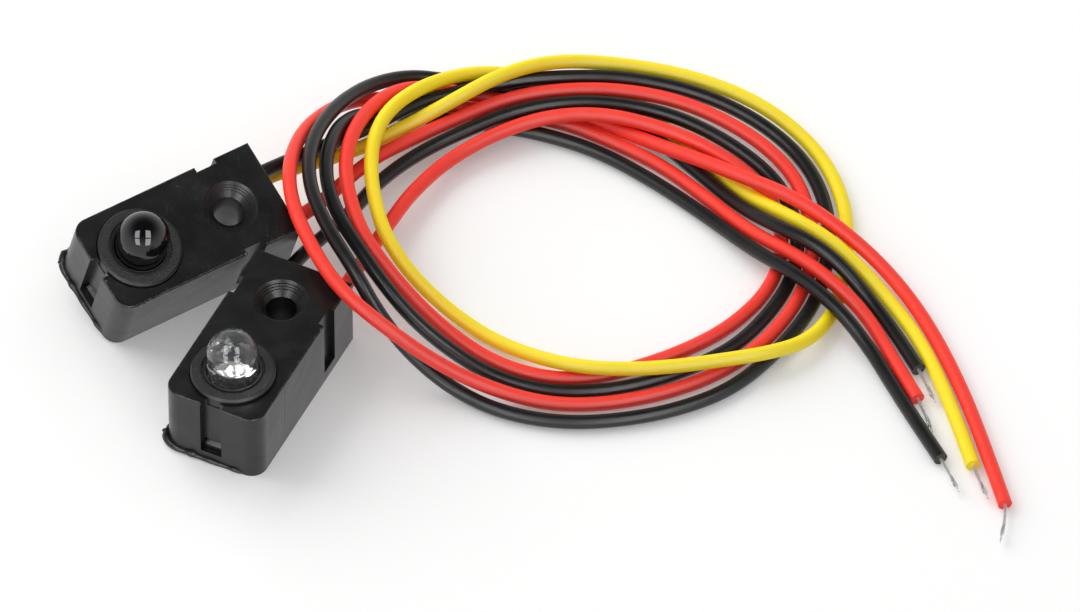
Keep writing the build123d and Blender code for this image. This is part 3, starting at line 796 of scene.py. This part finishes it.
def make_ground():
    """A large sheet of white paper under the object."""
    shape = bmesh.new()
    bmesh.ops.create_grid(shape, x_segments=1, y_segments=1, size=3.0)
    mesh = bpy.data.meshes.new("ground")
    shape.to_mesh(mesh)
    shape.free()
    made, tree, shader, coordinates = start_material("white_paper")
    # What the camera, gloss and glass see of the paper glows a little, which lifts its shadows
    rays = tree.nodes.new("ShaderNodeLightPath").outputs
    direct = calc(tree, "MAXIMUM", rays["Is Camera Ray"], rays["Is Transmission Ray"])
    fibre = noise_at(tree, coordinates, 900.0, 3.0, 0.6)
    paper = blend(tree, fibre, grey(0.81), grey(0.825))
    seen = blend(tree, rays["Is Glossy Ray"], paper, grey(0.4))
    tree.links.new(seen, shader.inputs["Base Color"])
    reflected = blend(tree, rays["Is Glossy Ray"], grey(0), grey(0.6))
    glow = blend(tree, direct, reflected, grey(0.17))
    tree.links.new(glow, shader.inputs["Emission Color"])
    shader.inputs["Emission Strength"].default_value = 1.0
    shader.inputs["Roughness"].default_value = 0.9
    shader.inputs["Specular IOR Level"].default_value = 0.0
    mesh.materials.append(made)
    ground = bpy.data.objects.new("ground", mesh)
    bpy.context.collection.objects.link(ground)


def make_world():
    """An evenly lit studio, which gloss sees as pale walls under a dim ceiling."""
    world = bpy.data.worlds.new("studio")
    world.use_nodes = True
    tree = world.node_tree
    direction = tree.nodes.new("ShaderNodeTexCoord").outputs["Generated"]
    height = parts_of(tree, direction)[2]
    rise = fade(tree, height, 0.08, 0.9)
    sky = blend(tree, rise, grey(0.95), (0.06, 0.062, 0.064, 1))
    rays = tree.nodes.new("ShaderNodeLightPath").outputs
    plain = blend(tree, rays["Is Transmission Ray"], grey(0.66), grey(0.95))
    seen = blend(tree, rays["Is Glossy Ray"], plain, sky)
    tree.links.new(seen, tree.nodes["Background"].inputs["Color"])
    return world


make_ground()
scene = bpy.context.scene
scene.world = make_world()
scene.view_settings.view_transform = "Standard"

# The camera's place, and the picture's directions: towards it, to the right and up
camera_target = Vector((19.35, 16.55, 0)) * MM
camera_place = Vector((490.2, -947.8, 1208.8)) * MM
back = (camera_place - camera_target).normalized()
right = Vector((0.8986, 0.4387, 0))
up = back.cross(right)


def area_light(name, place, facing, width, height, power, colour):
    """A rectangular lamp that shines along a direction."""
    lamp = bpy.data.lights.new(name, "AREA")
    lamp.shape = "RECTANGLE"
    lamp.size = width
    lamp.size_y = height
    lamp.energy = power
    lamp.color = colour
    made = bpy.data.objects.new(name, lamp)
    bpy.context.collection.objects.link(made)
    made.location = place
    made.rotation_euler = facing.to_track_quat("-Z", "Y").to_euler()
    return made


# A wide soft wall to the left lights the surfaces. Lamps are in metres and watts.
wall_place = camera_target + Vector((-0.82, 0.2, 0.64))
soft_wall = area_light(
    "soft_wall", wall_place, camera_target - wall_place, 1.2, 1.0, 9.6, (1.0, 0.995, 0.985)
)
soft_wall.visible_glossy = False

# A window of four tall panes, level with the camera, gives gloss and glass their highlights
window_distance = 1.2
pane_width, pane_height, pane_power = 0.56, 0.76, 8.0
for column in (-1, 1):
    for row in (-1, 1):
        place = camera_target + back * window_distance
        place += right * (0.57 * column - 0.14) + up * (0.43 * row - 0.12)
        pane = area_light(
            f"pane_{column}_{row}", place, -back, pane_width, pane_height, pane_power,
            (0.97, 0.985, 1.0),
        )
        pane.visible_diffuse = False

lens = bpy.data.cameras.new("camera")
lens.lens = 562.1
lens.sensor_width = 36
lens.clip_start = 0.05
lens.clip_end = 20
camera = bpy.data.objects.new("camera", lens)
bpy.context.collection.objects.link(camera)
camera.location = camera_place
camera.rotation_euler = (camera_target - camera.location).to_track_quat("-Z", "Y").to_euler()
scene.camera = camera
